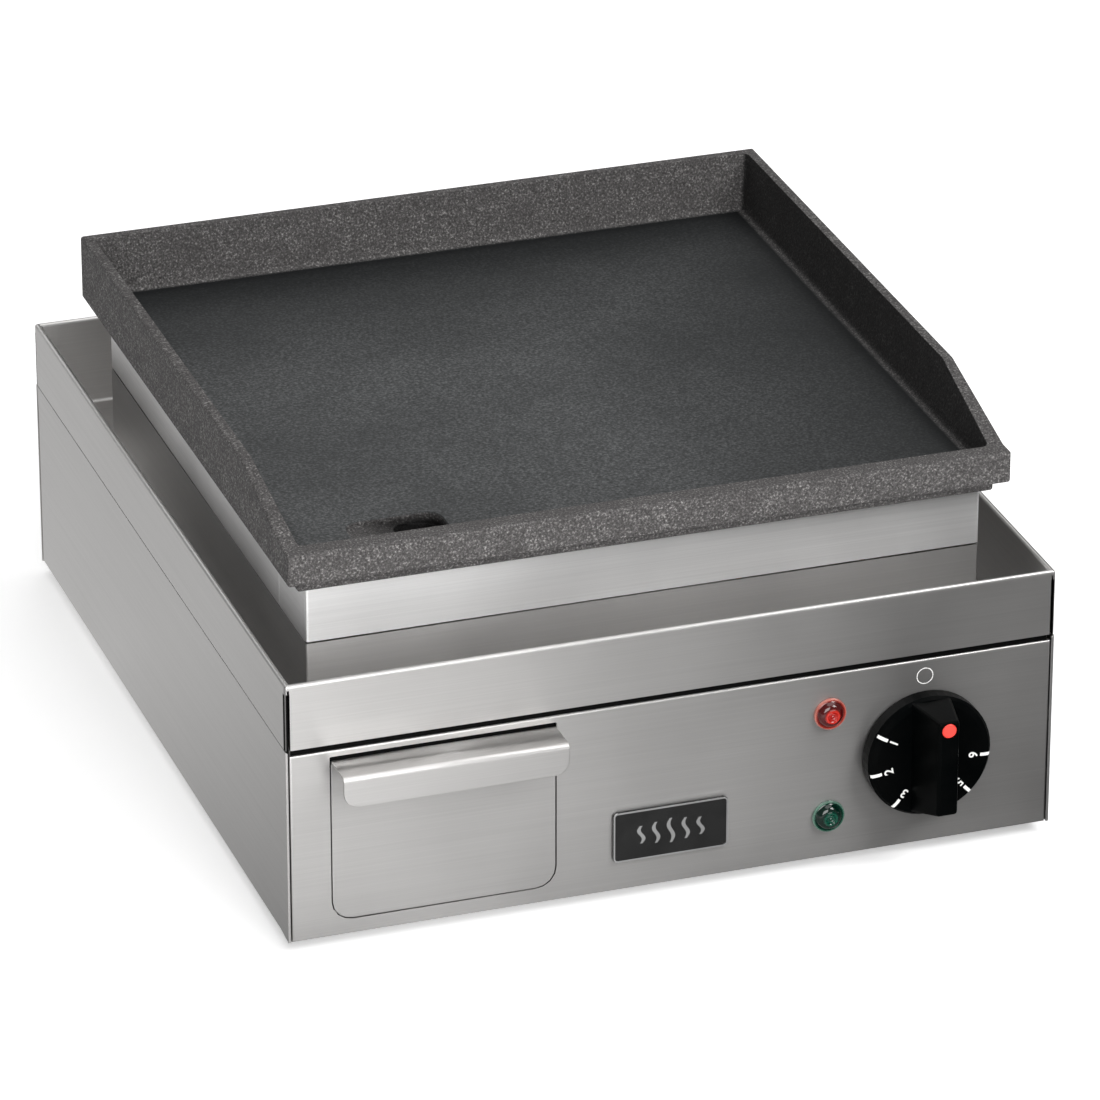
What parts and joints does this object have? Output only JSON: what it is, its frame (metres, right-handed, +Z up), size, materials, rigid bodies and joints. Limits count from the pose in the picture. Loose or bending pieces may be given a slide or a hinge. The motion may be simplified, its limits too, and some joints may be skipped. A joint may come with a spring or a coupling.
{
  "type": "electric griddle",
  "caption": "Countertop electric griddle: steel casing, cast iron plate with splash walls and drain slot, moat tray, pull-out fat drawer, thermostat knob and neon indicators.",
  "frame": {"origin": "centre of the object's box in plan, at the undersides of the feet", "axes": "+Z up; -Y out of the front with the knob; +X to the right as seen from the front"},
  "size_m": [0.35, 0.4482, 0.19],
  "materials": {
    "brushed_steel": "fine horizontal brushing",
    "cast_iron": "rough as cast, with a machined cooking surface",
    "plated_steel": "plain plated steel",
    "foot_rubber": "matt",
    "badge_plate": "gloss black",
    "knob_plastic": "satin moulded phenolic",
    "knob_dot_red": "smooth",
    "white_print": "printed marks",
    "red_lens": "clear tinted",
    "green_lens": "clear tinted",
    "white_insulator": "unglazed",
    "copper_tube": "drawn copper",
    "insulation_fibre": "felted mineral fibre",
    "brass": "turned",
    "gland_plastic": "moulded nylon",
    "wire_brown": "sleeved wire",
    "wire_blue": "sleeved wire",
    "wire_green": "sleeved wire"
  },
  "bodies": {
    "root": {"badge": "badge_plate", "base_plate": "brushed_steel", "cable_gland": "gland_plastic", "clamp_bar_front": "plated_steel", "clamp_bar_rear": "plated_steel", "clamp_nut_front_left": "plated_steel", "clamp_nut_front_right": "plated_steel", "clamp_nut_rear_left": "plated_steel", "clamp_nut_rear_right": "plated_steel", "clamp_stud_front_left": "plated_steel", "clamp_stud_front_right": "plated_steel", "clamp_stud_rear_left": "plated_steel", "clamp_stud_rear_right": "plated_steel", "drain_chute": "brushed_steel", "drawer_rail_left": "brushed_steel", "drawer_rail_right": "brushed_steel", "earth_stud": "brass", "element_left": "plated_steel", "element_right": "plated_steel", "foot_front_left": "foot_rubber", "foot_front_left_screw": "plated_steel", "foot_front_right": "foot_rubber", "foot_front_right_screw": "plated_steel", "foot_rear_left": "foot_rubber", "foot_rear_left_screw": "plated_steel", "foot_rear_right": "foot_rubber", "foot_rear_right_screw": "plated_steel", "front_fascia": "brushed_steel", "gland_nut": "gland_plastic", "green_neon_body": "white_insulator", "green_neon_lens": "green_lens", "griddle_plate": "cast_iron", "heat_shield": "brushed_steel", "hob_tray": "brushed_steel", "insulation": "insulation_fibre", "plate_skirt_front": "brushed_steel", "plate_skirt_rear": "brushed_steel", "plate_support_left": "plated_steel", "plate_support_right": "plated_steel", "rear_panel": "brushed_steel", "rear_screw_lower_left": "plated_steel", "rear_screw_lower_right": "plated_steel", "rear_screw_upper_left": "plated_steel", "rear_screw_upper_right": "plated_steel", "red_neon_body": "white_insulator", "red_neon_lens": "red_lens", "side_panel_left": "brushed_steel", "side_panel_right": "brushed_steel", "terminal_block": "white_insulator", "thermostat_body": "white_insulator", "thermostat_bracket": "plated_steel", "thermostat_capillary": "copper_tube", "wire_earth": "wire_green", "wire_live": "wire_brown", "wire_neutral": "wire_blue"},
    "knob": {"knob": "knob_plastic", "knob_dot": "knob_dot_red", "thermostat_spindle": "plated_steel"},
    "drawer": {"drawer_front": "brushed_steel", "drawer_pan": "brushed_steel"}
  },
  "joints": [
    {"name": "knob_turn", "type": "hinge", "parent": "root", "child": "knob", "pos_m": [0.1148, -0.1939, 0.0515], "axis": [0, 1, 0], "range_deg": [0, 270]},
    {"name": "drawer_slide", "type": "slide", "parent": "root", "child": "drawer", "axis": [0, -1, 0], "range_m": [0, 0.22]}
  ]
}
